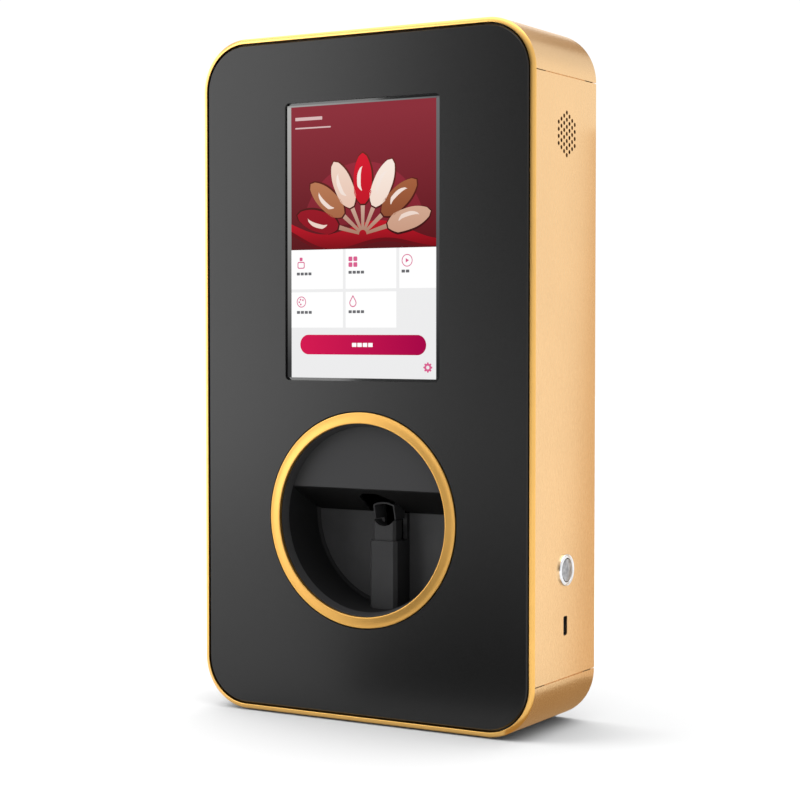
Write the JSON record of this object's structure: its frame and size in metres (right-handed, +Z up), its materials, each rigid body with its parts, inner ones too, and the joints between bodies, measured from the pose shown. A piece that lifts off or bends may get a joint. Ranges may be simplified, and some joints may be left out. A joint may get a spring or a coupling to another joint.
{
  "type": "digital nail art printer",
  "caption": "Upright digital nail art printer: gold-sided cabinet with a screen above a round finger port, sprung finger cradle, inkjet print engine and hinged rear hatch.",
  "frame": {"origin": "centre of the base pad's underside, half way between the trim's outer edge and the back", "axes": "+X to the right as seen from the front, +Y to the back, +Z up"},
  "size_m": [0.2706, 0.0999, 0.481],
  "materials": {
    "gold_wrap": "satin gold anodised",
    "gold_trim": "polished gold anodised",
    "panel_black": "satin black",
    "screen_glass": "polished, dark border printed behind",
    "lcd": "smooth",
    "rubber": "matt",
    "port_black": "fine-grained matt black",
    "sheet_steel": "zinc plated",
    "powder_black": "fine powder coat",
    "chrome": "polished",
    "ground_steel": "ground",
    "black_oxide": "black oxide",
    "cast_grey": "bead blasted",
    "motor_black": "matt",
    "circuit_board": "solder mask",
    "led_board": "white solder mask",
    "brass": "turned",
    "flex_orange": "polyimide film",
    "clear_film": "clear film",
    "engine_plastic": "moulded",
    "cartridge_plastic": "moulded",
    "cream_plastic": "moulded"
  },
  "bodies": {
    "housing": {"side_panel_left": "gold_wrap", "side_panel_right": "gold_wrap", "top_cap": "gold_wrap", "bottom_cap": "gold_wrap", "base_pad": "rubber", "front_trim": "gold_trim", "front_panel": "panel_black", "front_chassis": "sheet_steel", "touch_glass": "screen_glass", "display_gasket": "rubber", "lcd_panel": "lcd", "display_bracket": "sheet_steel", "display_ribbon": "flex_orange", "port_ring": "gold_trim", "port_tube": "port_black", "port_hood": "port_black", "nail_chamber": "port_black", "finger_post": "port_black", "finger_guide": "port_black", "cradle_spring": "ground_steel", "nail_camera": "motor_black", "light_board": "led_board", "engine_frame": "sheet_steel", "stage_rods": "ground_steel", "stage_motor": "motor_black", "cap_holder": "cream_plastic", "cap_pad": "rubber", "main_board": "circuit_board", "heat_sink": "cast_grey", "driver_board": "circuit_board", "board_standoffs": "brass", "wire_loom": "motor_black", "speaker": "motor_black", "button_housing": "chrome", "button_nut": "ground_steel", "usb_socket": "chrome", "usb_board": "circuit_board", "dc_inlet": "motor_black", "rear_cover": "powder_black", "hatch_magnets": "ground_steel", "hatch_pin": "ground_steel", "shell_screws": "black_oxide", "frame_screws": "black_oxide", "rear_screws": "black_oxide"},
    "cradle": {"finger_cradle": "port_black"},
    "power_button": {"power_button": "chrome"},
    "hatch": {"rear_hatch": "powder_black"},
    "stage": {"stage_frame": "cast_grey", "guide_rods": "ground_steel", "encoder_strip": "clear_film", "drive_belt": "rubber", "belt_motor": "motor_black", "idler_pin": "ground_steel"},
    "screw": {"stage_screw": "ground_steel"},
    "carriage": {"ink_carriage": "engine_plastic", "ink_cartridge": "cartridge_plastic", "latch_pin": "ground_steel"},
    "latch": {"cartridge_latch": "engine_plastic"},
    "drive_pulley": {"drive_pulley": "ground_steel"},
    "idler_pulley": {"idler_pulley": "ground_steel"}
  },
  "joints": [
    {"name": "cradle_slide", "type": "slide", "parent": "housing", "child": "cradle", "axis": [0, 0, 1], "range_m": [-0.008, 0], "stiffness_N_per_m": 150, "springref_m": 0.003, "deforming": ["cradle_spring"]},
    {"name": "power_push", "type": "slide", "parent": "housing", "child": "power_button", "axis": [-1, 0, 0], "range_m": [0, 0.0015], "stiffness_N_per_m": 900},
    {"name": "hatch_hinge", "type": "hinge", "parent": "housing", "child": "hatch", "pos_m": [-0.078, 0.0482, 0.192], "axis": [0, 0, 1], "range_deg": [0, 110]},
    {"name": "stage_slide", "type": "slide", "parent": "housing", "child": "stage", "axis": [0, 1, 0], "range_m": [-0.014, 0]},
    {"name": "screw_spin", "type": "hinge", "parent": "housing", "child": "screw", "pos_m": [-0.1015, 0, 0.198], "axis": [0, 1, 0], "range_deg": [0, 630.5]},
    {"name": "carriage_slide", "type": "slide", "parent": "stage", "child": "carriage", "axis": [1, 0, 0], "range_m": [-0.08, 0]},
    {"name": "drive_spin", "type": "hinge", "parent": "stage", "child": "drive_pulley", "pos_m": [-0.074, -0.0065, 0.1875], "axis": [0, 1, 0], "range_deg": [0, 670]},
    {"name": "idler_spin", "type": "hinge", "parent": "stage", "child": "idler_pulley", "pos_m": [0.074, -0.0065, 0.1875], "axis": [0, 1, 0], "range_deg": [0, 670]},
    {"name": "latch_hinge", "type": "hinge", "parent": "carriage", "child": "latch", "pos_m": [0.05, 0.004, 0.2086], "axis": [1, 0, 0], "range_deg": [0, 55]}
  ],
  "couplings": [
    {"joint": "screw_spin", "follows": "stage_slide", "rad_per_m": -785.4},
    {"joint": "drive_spin", "follows": "carriage_slide", "rad_per_m": -145.99},
    {"joint": "idler_spin", "follows": "carriage_slide", "rad_per_m": -145.99}
  ]
}
